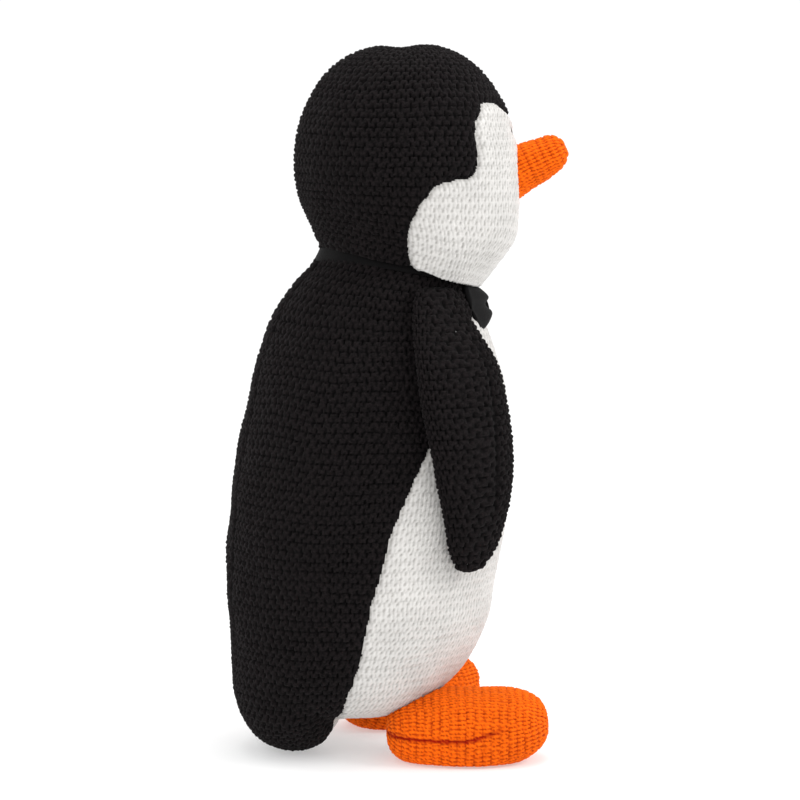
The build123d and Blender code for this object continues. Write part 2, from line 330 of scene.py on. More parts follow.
def grid_faces(rows, columns):
    """Quads of a grid that closes on itself round each row."""
    j, i = np.meshgrid(np.arange(rows - 1), np.arange(columns), indexing="ij")
    low, high = j * columns, (j + 1) * columns
    i2 = (i + 1) % columns
    return np.stack([low + i, low + i2, high + i2, high + i], axis=-1).reshape(-1, 4)


def closing_fan(first, columns, hub, top):
    """Quads that gather a grid's end row, from point first on, to the single point hub."""
    i = np.arange(0, columns, 2)
    ring = [first + i, first + i + 1, first + (i + 2) % columns, np.full(len(i), hub)]
    return np.stack(ring if top else ring[::-1], axis=-1)


def facing_out(p, row):
    """The grid with its columns turned round if its normals pointed inwards, and whether they did."""
    inward = np.sum(grid_normals(p)[row] * (p[row] - p[row].mean(axis=0))) < 0
    return (p[:, ::-1].copy() if inward else p), inward


def placed(p, turn=0.0):
    """From a piece's own frame to the part's frame."""
    c, s = math.cos(turn), math.sin(turn)
    q = p.copy()
    q[..., 0] = p[..., 0] * c - p[..., 1] * s
    q[..., 1] = p[..., 0] * s + p[..., 1] * c + SHIFT_Y
    return q


def resample_rows(fn, lo, hi, columns, step):
    """Rows of fn(s) spaced evenly along the form between s=lo and s=hi."""
    s = np.linspace(lo, hi, 500)
    p = fn(s, 48)
    run = np.concatenate([[0.0], np.cumsum(np.linalg.norm(p[1:] - p[:-1], axis=-1).mean(axis=1))])
    rows = max(int(round(run[-1] / step)), 8)
    return fn(np.interp(np.linspace(0, run[-1], rows + 1), run, s), columns)


# ---- materials ----------------------------------------------------------------------------------
def new_material(name):
    """A material with its node tree and its Principled shader."""
    mat = bpy.data.materials.new(name)
    mat.use_nodes = True
    return mat, mat.node_tree, mat.node_tree.nodes["Principled BSDF"]


def pattern(nt, kind, coords=None, **inputs):
    """A procedural texture over the object's own coordinates."""
    node = nt.nodes.new(kind)
    for label, value in inputs.items():
        node.inputs[label.replace("_", " ")].default_value = value
    if coords:
        nt.links.new(coords.outputs["Object"], node.inputs["Vector"])
    return node


def remapped(nt, source, low, high, start=0.0, end=1.0):
    """The source's values from start to end, moved to the range low to high."""
    node = nt.nodes.new("ShaderNodeMapRange")
    node.inputs["From Min"].default_value = start
    node.inputs["From Max"].default_value = end
    node.inputs["To Min"].default_value = low
    node.inputs["To Max"].default_value = high
    nt.links.new(source, node.inputs["Value"])
    return node.outputs["Result"]


def combined(nt, operation, first, second):
    """Two values added or multiplied."""
    node = nt.nodes.new("ShaderNodeMath")
    node.operation = operation
    nt.links.new(first, node.inputs[0])
    nt.links.new(second, node.inputs[1])
    return node.outputs["Value"]


def ramped(nt, source, low, high, start=0.0, end=1.0):
    """A colour that runs from low at start to high at end."""
    node = nt.nodes.new("ShaderNodeValToRGB")
    for element, place, colour in zip(node.color_ramp.elements, (start, end), (low, high)):
        element.position = place
        element.color = (*colour, 1)
    nt.links.new(source, node.inputs["Fac"])
    return node.outputs["Color"]


def bumped(nt, bsdf, source, strength, distance):
    """Fine relief on the shader's normal, distance in metres."""
    node = nt.nodes.new("ShaderNodeBump")
    node.inputs["Strength"].default_value = strength
    node.inputs["Distance"].default_value = distance
    nt.links.new(source, node.inputs["Height"])
    nt.links.new(node.outputs["Normal"], bsdf.inputs["Normal"])


def knit_material(name, crown, hole_shade, rough, sheen, sheen_tint, fleck):
    """Wool-like yarn: painted shade darkens it in the holes and seams, fine twisted plies, flecks and a soft
    fuzz sheen.
    """
    mat, nt, bsdf = new_material(name)
    bsdf.inputs["Sheen Weight"].default_value = sheen
    bsdf.inputs["Sheen Roughness"].default_value = 0.45
    bsdf.inputs["Sheen Tint"].default_value = (*sheen_tint, 1)
    bsdf.inputs["Specular IOR Level"].default_value = 0.1

    depth = nt.nodes.new("ShaderNodeAttribute")
    depth.attribute_name = "depth"
    coords = nt.nodes.new("ShaderNodeTexCoord")
    # painted shade: the colour darkens from the crowns' colour to the second, darker colour the deeper the
    # fabric lies
    colour = ramped(nt, depth.outputs["Fac"], crown, hole_shade, 0.08, 0.95)
    flecks = pattern(nt, "ShaderNodeTexNoise", coords, Scale=760.0, Detail=4.0).outputs["Fac"]
    patches = pattern(nt, "ShaderNodeTexNoise", coords, Scale=38.0, Detail=2.0).outputs["Fac"]
    shade = remapped(nt, flecks, 1.0 - fleck, 1.0 + fleck, 0.3, 0.7)
    drift = remapped(nt, patches, 0.93, 1.06, 0.3, 0.7)
    shaded = nt.nodes.new("ShaderNodeVectorMath")
    shaded.operation = "SCALE"
    nt.links.new(colour, shaded.inputs[0])
    nt.links.new(combined(nt, "MULTIPLY", shade, drift), shaded.inputs["Scale"])
    nt.links.new(shaded.outputs["Vector"], bsdf.inputs["Base Color"])
    nt.links.new(remapped(nt, flecks, rough - 0.08, min(rough + 0.06, 1.0)), bsdf.inputs["Roughness"])

    plies = pattern(nt, "ShaderNodeTexWave", coords, Scale=330.0, Distortion=9.0, Detail=3.0,
                    Detail_Scale=2.0)
    plies.bands_direction = "DIAGONAL"
    hairs = pattern(nt, "ShaderNodeTexNoise", coords, Scale=1500.0, Detail=3.0)
    relief = combined(nt, "ADD", plies.outputs["Fac"], hairs.outputs["Fac"])
    bumped(nt, bsdf, relief, 0.45, 0.00035)
    return mat


def fibre_material():
    """Loose stuffing fibre, never on show."""
    mat, nt, bsdf = new_material("stuffing_fibre")
    bsdf.inputs["Sheen Weight"].default_value = 0.4
    noise = pattern(nt, "ShaderNodeTexNoise", None, Scale=300.0, Detail=5.0).outputs["Fac"]
    colour = ramped(nt, noise, (0.72, 0.72, 0.70), (0.92, 0.92, 0.91))
    nt.links.new(colour, bsdf.inputs["Base Color"])
    bumped(nt, bsdf, noise, 1.0, 0.001)
    return mat


def ribbon_material(name, base, rough, weave):
    """Fine woven fabric with a faint sheen."""
    mat, nt, bsdf = new_material(name)
    bsdf.inputs["Sheen Weight"].default_value = 0.02
    bsdf.inputs["Specular IOR Level"].default_value = 0.1
    coords = nt.nodes.new("ShaderNodeTexCoord")
    threads = []
    for direction in ("Z", "X"):
        wave = pattern(nt, "ShaderNodeTexWave", coords, Scale=weave, Distortion=0.4)
        wave.bands_direction = direction
        threads.append(wave.outputs["Fac"])
    woven = combined(nt, "MULTIPLY", *threads)
    colour = ramped(nt, woven, [c * 0.6 for c in base], [c * 1.5 for c in base])
    nt.links.new(colour, bsdf.inputs["Base Color"])
    nt.links.new(remapped(nt, woven, rough - 0.1, rough + 0.1), bsdf.inputs["Roughness"])
    bumped(nt, bsdf, woven, 0.3, 0.0002)
    return mat


# each yarn's second colour is the painted shade in its holes and seams
BLACK = knit_material("black_knit", crown=(0.0060, 0.0044, 0.0047), hole_shade=(0.0005, 0.0003, 0.0004),
                      rough=0.9, sheen=0.05, sheen_tint=(0.42, 0.42, 0.42), fleck=0.9)
WHITE = knit_material("white_knit", crown=(0.64, 0.625, 0.605), hole_shade=(0.25, 0.24, 0.22),
                      rough=0.9, sheen=0.15, sheen_tint=(1.0, 1.0, 1.0), fleck=0.04)
ORANGE = knit_material("orange_knit", crown=(0.94, 0.145, 0.0025), hole_shade=(0.30, 0.006, 0.0),
                       rough=0.85, sheen=0.08, sheen_tint=(1.0, 0.50, 0.10), fleck=0.16)
FIBRE = fibre_material()
RIBBON = ribbon_material("black_ribbon", base=(0.0026, 0.0022, 0.0024), rough=0.85, weave=1400.0)
THREAD = ribbon_material("embroidery", base=(0.008, 0.008, 0.008), rough=0.4, weave=1000.0)


# ---- trunk with the tail --------------------------------------------------------------------------
def trunk_distance(p):
    """Below zero inside the trunk or tail, about millimetres, with the two blended where they meet."""
    z = p[..., 2]
    trunk = np.hypot(p[..., 0], p[..., 1] - curve(BODY_TABLE, z, 2)) - curve(BODY_TABLE, z, 1)
    trunk = np.where(z < TRUNK_LOW_Z + 6.0, np.maximum(trunk, TRUNK_LOW_Z - z), trunk)
    tail = (np.linalg.norm((p - TAIL_CENTRE) / TAIL_RADII, axis=-1) - 1.0) * TAIL_SCALE
    h = np.clip(0.5 + 0.5 * (tail - trunk) / TAIL_BLEND, 0, 1)
    return tail * (1 - h) + trunk * h - TAIL_BLEND * h * (1 - h)


def trunk_ring(z, theta):
    """A ring of the trunk at height z, tipping towards the neck's slope near the top."""
    droop = smooth(z, 225.0, NECK_Z) * math.tan(NECK_TILT)
    radius = curve(BODY_TABLE, z, 1)
    centre = curve(BODY_TABLE, z, 2)
    x = radius * np.cos(theta)
    y = centre + radius * np.sin(theta)
    level = z + droop * (x * math.sin(HEAD_TURN) + y * math.cos(HEAD_TURN))
    radius = curve(BODY_TABLE, level, 1)
    centre = curve(BODY_TABLE, level, 2)
    return np.stack([radius * np.cos(theta), centre + radius * np.sin(theta), level], axis=-1)


def underside_ring(turn_in, theta):
    """A ring below the pivot height, found along rays; turn_in runs to 1 at the middle of the underside."""
    tilt = turn_in * math.pi / 2
    base = curve(BODY_TABLE, PIVOT_Z, 2)
    shift = smooth(turn_in, 0.0, 0.9)
    origin = np.array((0.0, base + (UNDERSIDE_Y - base) * shift, PIVOT_Z))
    ray = np.stack([np.cos(theta) * math.cos(tilt), np.sin(theta) * math.cos(tilt),
                    np.full(len(theta), -math.sin(tilt))], axis=-1)
    near, far = np.full(len(theta), 5.0), np.full(len(theta), 110.0)
    for _ in range(22):
        mid = (near + far) / 2
        inside = trunk_distance(origin + ray * mid[:, None]) < 0
        near = np.where(inside, mid, near)
        far = np.where(inside, far, mid)
    return origin + ray * near[:, None]


def trunk_rows(s, columns):
    """s from -1 at the middle of the underside to 0 at the pivot height, then 1 at the top."""
    theta = np.arange(columns) / columns * 2 * math.pi + math.pi / 2      # starts at the back
    out = np.empty((len(s), columns, 3))
    for j, value in enumerate(s):
        if value >= 0:
            out[j] = trunk_ring(PIVOT_Z + value * (TRUNK_TOP_Z - PIVOT_Z), theta)
        else:
            out[j] = underside_ring(-value, theta)
    return out


def make_trunk():
    """The body's cover: white belly, and the black back in two halves with the tail."""
    columns = int(TRUNK_GIRTH / STEP)
    top = (NECK_Z + 2.5 - PIVOT_Z) / (TRUNK_TOP_Z - PIVOT_Z)
    p = resample_rows(trunk_rows, -0.995, top, columns, STEP * 1.06)
    rows = p.shape[0]
    lumps = 0.8 * soft_noise(p, 75.0, 21) + 0.35 * soft_noise(p, 26.0, 22) + 0.2
    p += grid_normals(p) * lumps[..., None]
    make_stuffing("body_filling", p[:-12], "body", "body_stuffing")
    normal = grid_normals(p)
    a, b = stitch_coordinates(p, 0.5, 31)
    heights, places = BELLY_TABLE.T
    line = np.interp(p[..., 2], heights, places)
    slope = np.interp(p[..., 2], heights, np.gradient(places, heights))
    edge = (line - p[..., 1]) / np.sqrt(1 + slope ** 2)
    edge = edge + 0.45 * soft_noise(p, 6.0, 41)
    white = smooth(edge, -2.0, 2.0)
    offset, depth = knit_offset(p, a, b, 50, 1.2 - 0.15 * white, 0.85 * white)
    seam = np.exp(-(edge / SEAM_HALF) ** 2)
    spine = np.exp(-((p[..., 0] + 1.2 * soft_noise(p, 60.0, 43)) / 2.4) ** 2)
    spine = np.where(p[..., 1] > 20, spine, 0) * smooth(p[..., 2], 40.0, 80.0)
    offset = offset * (1 - 0.45 * np.maximum(seam, spine)) - 1.5 * seam - 1.7 * spine
    # painted shade along the grooves of the belly seam and the back seam
    depth = np.clip(depth + 0.25 * np.maximum(seam, spine), 0, 1)
    points = placed(p + normal * offset[..., None]).reshape(-1, 3)
    faces = grid_faces(rows, columns)
    white = edge.reshape(-1)[faces].mean(axis=1) > 0
    left = points[faces][:, :, 0].mean(axis=1) > 0
    # the last few millimetres under the belly are gathered shut
    fan = closing_fan(0, columns, len(points), False)
    points = np.vstack([points, points[:columns].mean(axis=0)])
    # painted shade at the gathered middle of the underside
    depth = np.append(depth.reshape(-1), 0.6)
    write_mesh("belly_knit", points, np.vstack([faces[white], fan]), depth, "body", WHITE,
               "belly_panel")
    for side, chosen in (("right", ~left), ("left", left)):
        half = faces[~white & chosen]
        write_mesh("back_knit_" + side, points, half, depth, "body", BLACK, "body_back")


# ---- head -----------------------------------------------------------------------------------------
def head_rows(s, columns):
    """s from 0 at the neck to 1 at the crown; the lowest rows follow the sloping neck line."""
    theta = np.arange(columns) / columns * 2 * math.pi + math.pi / 2
    out = np.empty((len(s), columns, 3))
    for j, value in enumerate(s):
        # height grows more slowly with s near the flat crown
        rise = value if value < 0.6 else 1 - 0.4 * ((1 - value) / 0.4) ** 2
        up = (HEAD_TOP_Z - HEAD_LOW_Z) * rise
        level = HEAD_LOW_Z + up
        slope = math.tan(NECK_TILT) * (1 - smooth(level, NECK_Z, 330.0))
        y = np.zeros(columns)
        for _ in range(4):
            z = level + slope * y
            depth = curve(HEAD_TABLE, z, 1)
            centre = curve(HEAD_TABLE, z, 2)
            width = curve(HEAD_TABLE, z, 3)
            y = centre + depth * np.sin(theta)
        x = width * np.cos(theta)
        # the chin and cheeks hang over the neck, and the bottom edge turns in under them
        front = smooth(-y, -4.0, 30.0)
        hang = up / 4.0 if up < 4.0 else 1 - smooth(up, 4.0, 26.0)
        tuck = (0.03 + 0.055 * front) * (1 - smooth(up, 0.0, 4.0))
        y = y + 5.5 * hang * smooth(-y, 30.0, 55.0)
        z = z - 7.6 * front * hang - 0.5 * (1 - front) * (1 - smooth(up, 0.0, 9.0))
        out[j] = np.stack([x * (1 - tuck), centre + (y - centre) * (1 - tuck), z], axis=-1)
    return out


def outline_distance(y, z, outline):
    """Distance to a closed outline, positive inside it."""
    best = np.full(y.shape, 1e9)
    inside = np.zeros(y.shape, dtype=bool)
    count = len(outline)
    for k in range(count):
        y0, z0 = outline[k]
        y1, z1 = outline[(k + 1) % count]
        dy, dz = y1 - y0, z1 - z0
        t = np.clip(((y - y0) * dy + (z - z0) * dz) / (dy * dy + dz * dz), 0, 1)
        best = np.minimum(best, np.hypot(y - y0 - t * dy, z - z0 - t * dz))
        crosses = ((z0 > z) != (z1 > z)) & (y < (y1 - y0) * (z - z0) / (z1 - z0 + 1e-12) + y0)
        inside ^= crosses
    return np.where(inside, best, -best)


def make_head():
    """The head's cover: white face with a peak at the brow, black hood round it."""
    columns = int(HEAD_GIRTH / STEP)
    p = resample_rows(head_rows, 0.004, 0.992, columns, STEP * 1.03)
    rows = p.shape[0]
    # a shallow dip runs across the crown
    p[..., 2] -= 2.2 * smooth(p[..., 2], 385.0, 401.0) * np.exp(-((p[..., 1] + 1.5) / 9.0) ** 2)
    lumps = 0.7 * soft_noise(p, 60.0, 61) + 0.3 * soft_noise(p, 24.0, 62) + 0.2
    p += grid_normals(p) * lumps[..., None]
    # the cheeks swell above the chin
    cheek = np.exp(-(((p[..., 2] - 297.0) / 17.0) ** 2)) * smooth(-p[..., 1], 0.0, 28.0)
    p += grid_normals(p) * (1.2 * cheek)[..., None]
    make_stuffing("head_filling", p[12:], "head", "head_stuffing", HEAD_TURN)
    # small dimples where the eyes' thread pulls the face in
    for x in (-EYE_X, EYE_X):
        from_eye = np.hypot(p[..., 0] - x, p[..., 2] - EYE_Z)
        p[..., 1] += np.where(p[..., 1] < -20, EYE_SINK * np.exp(-(from_eye / 5.5) ** 2), 0)
    normal = grid_normals(p)
    a, b = stitch_coordinates(p, 0.5, 71)
    side = outline_distance(p[..., 1], p[..., 2], FACE_OUTLINE)
    azimuth = np.degrees(np.arctan2(np.abs(p[..., 0]), -(p[..., 1] + 5.0)))
    brow = 360.5 + 8.5 * smooth(azimuth, 2.0, 26.0) - 7.0 * smooth(azimuth, 36.0, 62.0)
    edge = np.minimum(side, (brow - p[..., 2]) * 0.9)
    edge = edge + 0.4 * soft_noise(p, 6.0, 73)
    white = smooth(edge, -2.0, 2.0)
    offset, depth = knit_offset(p, a, b, 80, 1.2 - 0.15 * white, 0.85 * white)
    seam = np.exp(-(edge / SEAM_HALF) ** 2)
    offset = offset * (1 - 0.45 * seam) - 1.5 * seam
    offset += 0.8 * np.exp(-((edge - 4.0) / 2.6) ** 2)      # the face puffs up beside its seam
    # painted shade along the groove of the face's seam
    depth = np.clip(depth + 0.25 * seam, 0, 1)
    points = placed(p + normal * offset[..., None], HEAD_TURN).reshape(-1, 3)
    faces = grid_faces(rows, columns)
    white = edge.reshape(-1)[faces].mean(axis=1) > 0
    fan = closing_fan((rows - 1) * columns, columns, len(points), True)
    points = np.vstack([points, points[-columns:].mean(axis=0) - (0, 0, 0.6)])
    # painted shade at the gathered top of the crown
    depth = np.append(depth.reshape(-1), 0.8)
    write_mesh("face_knit", points, faces[white], depth, "head", WHITE, "face_panel")
    write_mesh("hood_knit", points, np.vstack([faces[~white], fan]), depth, "head", BLACK,
               "head_hood")


# ---- flippers -------------------------------------------------------------------------------------
def flipper_rows(s, columns):
    """The right flipper, s from 0 at the tip to 1 at the shoulder."""
    theta = np.arange(columns) / columns * 2 * math.pi
    low, high = FLIPPER_TABLE[-1, 0], FLIPPER_TABLE[0, 0]
    ahead = (math.sin(FLIPPER_YAW), -math.cos(FLIPPER_YAW))
    outward = (-math.cos(FLIPPER_YAW), -math.sin(FLIPPER_YAW))
    out = np.empty((len(s), columns, 3))
    for j, value in enumerate(s):
        z = low + (high - low) * (1 - math.cos(value * math.pi)) / 2
        reach, y, width, thick = (curve(FLIPPER_TABLE, z, column) for column in (1, 2, 3, 4))
        across = np.sign(np.cos(theta)) * np.abs(np.cos(theta)) ** 0.86 * width
        through = np.sin(theta) * thick
        px = -reach + across * ahead[0] + through * outward[0]
        py = y + across * ahead[1] + through * outward[1]
        out[j] = np.stack([px, py, np.full(columns, z)], axis=-1)
    return out


def make_flipper(side, sign):
    """One flipper's cover, made as the right one and mirrored for the left."""
    columns = int(FLIPPER_GIRTH / STEP) // 2 * 2
    p = resample_rows(flipper_rows, 0.045, 0.93, columns, STEP * 1.03)
    rows = p.shape[0]
    theta = np.arange(columns) / columns * 2 * math.pi
    p, turned = facing_out(p, rows // 2)
    if turned:
        theta = theta[::-1]
    p += grid_normals(p) * (0.35 * soft_noise(p, 40.0, 91) - 0.75)[..., None]
    fat = rows // 7
    make_stuffing("flipper_filling_" + side, p[fat // 3:-fat], "flipper_" + side, "flipper_stuffing_" + side,
                  0.0, -sign, 0.6)
    normal = grid_normals(p)
    a, b = stitch_coordinates(p, 0.0, 95, 0.07)
    offset, depth = knit_offset(p, a, b, 99, 1.2)
    # a folded seam runs down the outer face, forward of its middle
    z = p[..., 2]
    place = 1.15 + 0.10 * np.sin((z - 112.0) / 26.0)
    gap = (theta[None, :] - place) * 26.0
    seam = np.exp(-(gap / 1.5) ** 2) * smooth(z, 138.0, 150.0) * (1 - smooth(z, 232.0, 250.0))
    offset = offset * (1 - 0.4 * seam) - 1.25 * seam
    # painted shade in the groove of the flipper's seam
    depth = np.clip(depth + 0.5 * seam, 0, 1)
    points = (p + normal * offset[..., None]).reshape(-1, 3)
    low = closing_fan(0, columns, len(points), False)
    high = closing_fan((rows - 1) * columns, columns, len(points) + 1, True)
    tip = points[:columns].mean(axis=0) - (0, 0, 0.8)
    shoulder = points[-columns:].mean(axis=0) + (0, 0, 0.5)
    points = np.vstack([points, tip, shoulder])
    faces = np.vstack([grid_faces(rows, columns), low, high])
    if sign > 0:
        points = points * (-1, 1, 1)
        faces = faces[:, ::-1]
    # painted shade at the gathered tip and shoulder
    write_mesh("flipper_knit_" + side, placed(points), faces, np.append(depth.reshape(-1), (0.5, 0.5)),
               "flipper_" + side, BLACK, "flipper_cover_" + side)


# ---- feet -----------------------------------------------------------------------------------------
def foot_section(columns):
    """The foot's widest section as evenly spaced points, fuller towards the floor."""
    theta = np.linspace(0, 2 * math.pi, 721)
    full = np.where(np.sin(theta) < 0, 0.66, 0.92)
    x = np.sign(np.cos(theta)) * np.abs(np.cos(theta)) ** full * FOOT_RADII[0]
    z = np.sign(np.sin(theta)) * np.abs(np.sin(theta)) ** full * FOOT_RADII[2]
    run = np.concatenate([[0.0], np.cumsum(np.hypot(np.diff(x), np.diff(z)))])
    even = np.linspace(0, run[-1], columns, endpoint=False)
    return np.interp(even, run, x), np.interp(even, run, z)


def foot_rows(s, columns):
    """Rows run across the foot; s from 0 at the heel to 1 at the toe."""
    section_x, section_z = foot_section(columns)
    ry = FOOT_RADII[1]
    out = np.empty((len(s), columns, 3))
    for j, value in enumerate(s):
        y = ry * math.cos(value * math.pi)
        r = math.sin(value * math.pi) ** 0.76
        lift = 4.0 * smooth(-y / ry, 0.1, 1.0)      # the toe curls up a little
        z = FOOT_MIDDLE_Z + section_z * r + lift
        out[j] = np.stack([section_x * r, np.full(columns, y), z], axis=-1)
    return out


def beside_body(p, sign):
    """From a foot's own frame to its splayed place beside the body's middle, before the part's shift."""
    c, s = math.cos(sign * FOOT_SPLAY), math.sin(sign * FOOT_SPLAY)
    q = p.copy()
    q[..., 0] = p[..., 0] * c - p[..., 1] * s + sign * FOOT_CENTRE[0]
    q[..., 1] = p[..., 0] * s + p[..., 1] * c + FOOT_CENTRE[1]
    return q


def press_under_belly(p, sign):
    """Lower the foot's top where the belly sits on it."""
    z = p[..., 2].copy()
    probe = beside_body(p, sign)
    for _ in range(60):
        push = (trunk_distance(probe) < 1.6) & (probe[..., 2] > 12.0)
        if not push.any():
            break
        probe[..., 2] = np.where(push, probe[..., 2] - 0.5, probe[..., 2])
    p = p.copy()
    p[..., 2] = np.where(z > probe[..., 2], probe[..., 2], z)
    return p


def make_foot(side, sign):
    """One foot's cover: the upper and the sole, sewn together low round the heel."""
    columns = int(FOOT_GIRTH / STEP) // 2 * 2
    p = resample_rows(foot_rows, 0.02, 0.98, columns, STEP * 1.03)
    rows = p.shape[0]
    p, _ = facing_out(p, rows // 2)
    p += grid_normals(p) * (0.6 * soft_noise(p, 32.0, 111 + sign) - 0.7)[..., None]
    p = press_under_belly(p, sign)
    # the floor presses the underside nearly flat
    p[..., 2] = np.where(p[..., 2] < 1.0, 1.0 + (p[..., 2] - 1.0) * 0.06, p[..., 2])
    inner = beside_body(p, sign)[4:-4]
    make_stuffing("foot_filling_" + side, inner, "foot_" + side, "foot_stuffing_" + side)
    normal = grid_normals(p)
    a, b = stitch_coordinates(p, 0.25, 115, 0.08, 0.86)
    offset, depth = knit_offset(p, a, b, 120, 1.15, 0.35, 0.95)
    rise = 6.5 * smooth(-p[..., 1], -4.0, 24.0)
    gap = p[..., 2] - FOOT_SEAM_Z - rise
    seam = np.exp(-(gap / 1.1) ** 2) * (1 - smooth(-p[..., 1], 6.0, 26.0))
    offset = offset * (1 - 0.4 * seam) - 0.9 * seam
    contact = smooth(6.0 - p[..., 2], 0.0, 5.0)
    offset = np.where(p[..., 2] < 6.0, offset * (1 - 0.55 * contact), offset)
    # painted shade along the seam between the upper and the sole
    depth = np.clip(depth + 0.8 * seam, 0, 1)
    p = p + normal * offset[..., None]
    p[..., 2] = np.maximum(p[..., 2], 0.15)
    points = p.reshape(-1, 3)
    faces = grid_faces(rows, columns)
    below = gap.reshape(-1)[faces].mean(axis=1) < 0
    low = closing_fan(0, columns, len(points), False)
    high = closing_fan((rows - 1) * columns, columns, len(points) + 1, True)
    heel = points[:columns].mean(axis=0) + (0, 0.6, 0)
    toe = points[-columns:].mean(axis=0) - (0, 0.6, 0)
    world = placed(beside_body(np.vstack([points, heel, toe]), sign))
    # painted shade at the gathered heel and toe
    depth = np.append(depth.reshape(-1), (0.5, 0.5))
    upper = np.vstack([faces[~below], low, high])
    write_mesh("foot_knit_" + side, world, upper, depth, "foot_" + side, ORANGE,
               "foot_upper_" + side)
    write_mesh("sole_knit_" + side, world, faces[below], depth, "foot_" + side, ORANGE,
               "foot_sole_" + side)


# ---- beak -----------------------------------------------------------------------------------------
def beak_rows(s, columns):
    """s from 0 at the face to 1 at the tip."""
    theta = np.arange(columns) / columns * 2 * math.pi
    run = BEAK_TIP - BEAK_BASE
    length = float(np.hypot(*run))
    along = np.array((0.0, run[0] / length, run[1] / length))
    up = np.array((0.0, along[2], -along[1]))
    right = np.array((1.0, 0.0, 0.0))
    base = np.array((0.0, BEAK_BASE[0], BEAK_BASE[1]))
    out = np.empty((len(s), columns, 3))
    for j, value in enumerate(s):
        d = value * (length + BEAK_TIP_R)
        if d < length:
            r = BEAK_BASE_R + (BEAK_TIP_R - BEAK_BASE_R) * (d / length) ** 0.92
        else:
            r = math.sqrt(max(BEAK_TIP_R ** 2 - (d - length) ** 2, 0.0))
        ring = np.outer(np.cos(theta), right) * 0.98 + np.outer(np.sin(theta), up)
        out[j] = base + along * d + ring * r
    return out


def make_beak():
    """The beak's cover, knitted round and gathered at the tip."""
    columns = int(BEAK_GIRTH / STEP) // 2 * 2
    p = resample_rows(beak_rows, 0.0, 0.996, columns, STEP)
    rows = p.shape[0]
    p, _ = facing_out(p, rows // 3)
    p += grid_normals(p) * (0.35 * soft_noise(p, 18.0, 131) + 0.4)[..., None]
    make_stuffing("beak_filling", p[:-8], "head", "beak_stuffing", HEAD_TURN, 1, 0.7)
    normal = grid_normals(p)
    a, b = stitch_coordinates(p, 0.0, 135, 0.05, 0.84)
    offset, depth = knit_offset(p, a, b, 140, 1.1, 0.45, 0.95)
    points = placed(p + normal * offset[..., None], HEAD_TURN).reshape(-1, 3)
    tip = closing_fan((rows - 1) * columns, columns, len(points), True)
    points = np.vstack([points, points[-columns:].mean(axis=0)])
    faces = np.vstack([grid_faces(rows, columns), tip])
    # painted shade at the gathered tip
    depth = np.append(depth.reshape(-1), 0.4)
    write_mesh("beak_knit", points, faces, depth, "head", ORANGE, "beak_cover")


# ---- neck ribbon, bow tie and eyes -----------------------------------------------------------------
def plain_mesh(name, points, faces, material, subdivide=0):
    """A smooth-shaded mesh from points in millimetres."""
    mesh = bpy.data.meshes.new(name)
    mesh.from_pydata([Vector(q) / 1000.0 for q in points], [], [tuple(int(v) for v in f) for f in faces])
    mesh.validate()
    obj = bpy.data.objects.new(name, mesh)
    bpy.context.scene.collection.objects.link(obj)
    for poly in mesh.polygons:
        poly.use_smooth = True
    mesh.materials.append(material)
    if subdivide:
        mod = obj.modifiers.new("round", "SUBSURF")
        mod.levels = mod.render_levels = subdivide
    return obj


def dress(name, points, faces, material, subdivide, body, node):
    """A small piece that rides on its body and stands for one CAD node."""
    obj = plain_mesh(name, points, faces, material, subdivide)
    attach(obj, body)
    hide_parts(node)


def tube_faces(rings, sides, flip, base=0):
    """Quads between successive rings of points, and a cap at each end."""
    faces = []
    for i in range(rings - 1):
        low, high = base + i * sides, base + (i + 1) * sides
        for k in range(sides):
            k2 = (k + 1) % sides
            faces.append((low + k, low + k2, high + k2, high + k))
    faces.append(tuple(range(base, base + sides))[::-1])
    faces.append(tuple(range(base + (rings - 1) * sides, base + rings * sides)))
    return [f[::-1] for f in faces] if flip else faces


def rounded(value, power):
    """A sine or cosine pushed out towards a square's side."""
    return math.copysign(abs(value) ** power, value)


def neck_point(theta, below, out):
    """A point on the neck, below mm under the neck plane and out mm proud of the fabric."""
    x, y, z = 0.0, 0.0, NECK_Z
    for _ in range(5):
        ahead = x * math.sin(HEAD_TURN) + y * math.cos(HEAD_TURN)
        z = NECK_Z - below + math.tan(NECK_TILT) * ahead
        radius = curve(BODY_TABLE, z, 1) + out
        centre = curve(BODY_TABLE, z, 2)
        x, y = radius * math.cos(theta), centre + radius * math.sin(theta)
    return (x, y + SHIFT_Y, z)


def make_ribbon():
    """The band round the neck, slightly rippled."""
    columns = 160
    # how far below the neck plane, and how far out from the fabric
    profile = [(0.4, -1.0), (0.4, 0.3), (1.6, 0.8), (4.6, 1.0), (7.6, 0.8), (9.0, 0.3), (9.0, -1.0)]
    points = []
    for i in range(columns):
        theta = i / columns * 2 * math.pi
        ripple = 0.25 * math.sin(theta * 9.0) + 0.15 * math.sin(theta * 23.0 + 1.0)
        for below, out in profile:
            points.append(neck_point(theta, below + ripple * 0.6, out + 0.15 * math.sin(theta * 13.0)))
    n = len(profile)
    faces = []
    for i in range(columns):
        i2 = (i + 1) % columns
        for k in range(n):
            k2 = (k + 1) % n
            faces.append((i * n + k, i2 * n + k, i2 * n + k2, i * n + k2))
    dress("neck_ribbon_band", points, faces, RIBBON, 1, "body", "neck_ribbon")


